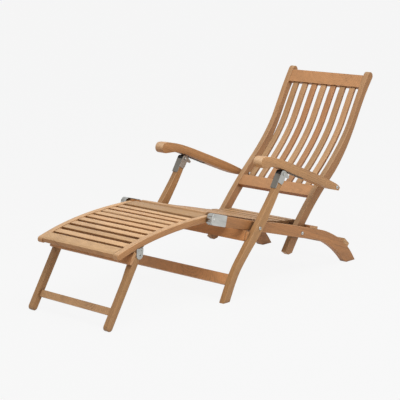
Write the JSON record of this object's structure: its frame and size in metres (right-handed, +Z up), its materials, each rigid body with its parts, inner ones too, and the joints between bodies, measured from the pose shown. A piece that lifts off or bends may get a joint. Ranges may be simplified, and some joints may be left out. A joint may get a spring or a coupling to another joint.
{
  "type": "steamer deck chair",
  "caption": "Folding wooden steamer deck chair: slatted seat, reclining slatted back, arms that rest on the leg tops, and a footrest on folding legs.",
  "frame": {"origin": "on the floor, at the middle of the chair's length and width", "axes": "+X runs from the foot end to the head end, +Z is up, and -Y is the left hand of somebody lying in the chair"},
  "size_m": [1.6452, 0.6076, 0.8279],
  "materials": {
    "teak_light": "oiled hardwood, pale honey boards",
    "teak_mid": "oiled hardwood, mid brown boards",
    "teak_red": "oiled hardwood, reddish boards",
    "steel": "satin",
    "rubber": "black, matt"
  },
  "bodies": {
    "seat_frame": {"seat_rail_left": "teak_light", "seat_rail_right": "teak_light", "seat_panel": "teak_red", "seat_nosing": "teak_light", "seat_stretcher_1": "teak_mid", "seat_stretcher_2": "teak_mid", "seat_batten": "teak_mid", "rear_leg_batten": "teak_red", "footrest_hinge_left": "steel", "footrest_hinge_right": "steel", "leg_bolt_left": "steel", "leg_bolt_right": "steel"},
    "leg_frame": {"leg_left": "teak_mid", "leg_right": "teak_mid", "leg_lower_rail": "teak_red", "leg_upper_rail": "teak_red", "leg_top_bracket_left": "steel", "leg_top_bracket_right": "steel", "arm_roller_left": "rubber", "arm_roller_right": "rubber"},
    "back_bolts": {"back_bolt_left": "steel", "back_bolt_right": "steel"},
    "back_frame": {"back_stile_left": "teak_light", "back_stile_right": "teak_light", "back_top_rail": "teak_mid", "back_lower_rail": "teak_mid", "back_slat_1": "teak_light", "back_slat_2": "teak_red", "back_slat_3": "teak_light", "back_slat_4": "teak_red", "back_slat_5": "teak_light", "back_slat_6": "teak_red", "back_slat_7": "teak_light"},
    "arm_bolts": {"arm_bolt_left": "steel", "arm_bolt_right": "steel"},
    "arm_left": {"arm_left": "teak_light", "arm_rack_left": "steel"},
    "arm_right": {"arm_right": "teak_light", "arm_rack_right": "steel"},
    "footrest": {"footrest_stile_left": "teak_mid", "footrest_stile_right": "teak_mid", "footrest_front_rail": "teak_mid", "footrest_rear_rail": "teak_red", "footrest_slat_1": "teak_mid", "footrest_slat_2": "teak_light", "footrest_slat_3": "teak_light", "footrest_slat_4": "teak_mid", "footrest_slat_5": "teak_light", "footrest_slat_6": "teak_light", "footrest_slat_7": "teak_mid", "footrest_slat_8": "teak_light", "footrest_slat_9": "teak_light", "foot_leg_bracket_left": "steel", "foot_leg_bracket_right": "steel"},
    "foot_legs": {"foot_leg_left": "teak_light", "foot_leg_right": "teak_light", "foot_leg_lower_rail": "teak_mid", "foot_leg_batten": "teak_mid", "foot_leg_ear_left": "steel", "foot_leg_ear_right": "steel"}
  },
  "joints": [
    {"name": "leg_fold", "type": "hinge", "parent": "seat_frame", "child": "leg_frame", "pos_m": [-0.02906, 0, 0.26943], "axis": [0, -1, 0], "range_deg": [0, 100]},
    {"name": "back_bolts_turn", "type": "hinge", "parent": "seat_frame", "child": "back_bolts", "pos_m": [0.29093, 0, 0.18741], "axis": [0, -1, 0], "range_deg": [0, 76]},
    {"name": "back_recline", "type": "hinge", "parent": "back_bolts", "child": "back_frame", "pos_m": [0.29093, 0, 0.18741], "axis": [0, -1, 0], "range_deg": [0, 25]},
    {"name": "arm_bolts_turn", "type": "hinge", "parent": "back_frame", "child": "arm_bolts", "pos_m": [0.47378, 0, 0.36483], "axis": [0, -1, 0], "range_deg": [-22.5, 0]},
    {"name": "arm_left_fold", "type": "hinge", "parent": "arm_bolts", "child": "arm_left", "pos_m": [0.47378, 0, 0.36483], "axis": [0, -1, 0], "range_deg": [-96, 0]},
    {"name": "arm_right_fold", "type": "hinge", "parent": "arm_bolts", "child": "arm_right", "pos_m": [0.47378, 0, 0.36483], "axis": [0, -1, 0], "range_deg": [-96, 0]},
    {"name": "footrest_lift", "type": "hinge", "parent": "seat_frame", "child": "footrest", "pos_m": [-0.26476, 0, 0.33896], "axis": [0, 1, 0], "range_deg": [0, 50]},
    {"name": "foot_leg_fold", "type": "hinge", "parent": "footrest", "child": "foot_legs", "pos_m": [-0.65075, 0, 0.26496], "axis": [0, -1, 0], "range_deg": [0, 115]}
  ],
  "couplings": [
    {"joint": "back_bolts_turn", "follows": "leg_fold", "ratio": 0.76},
    {"joint": "arm_bolts_turn", "follows": "back_recline", "ratio": -0.9},
    {"joint": "arm_left_fold", "follows": "leg_fold", "ratio": -0.96},
    {"joint": "arm_right_fold", "follows": "leg_fold", "ratio": -0.96}
  ]
}
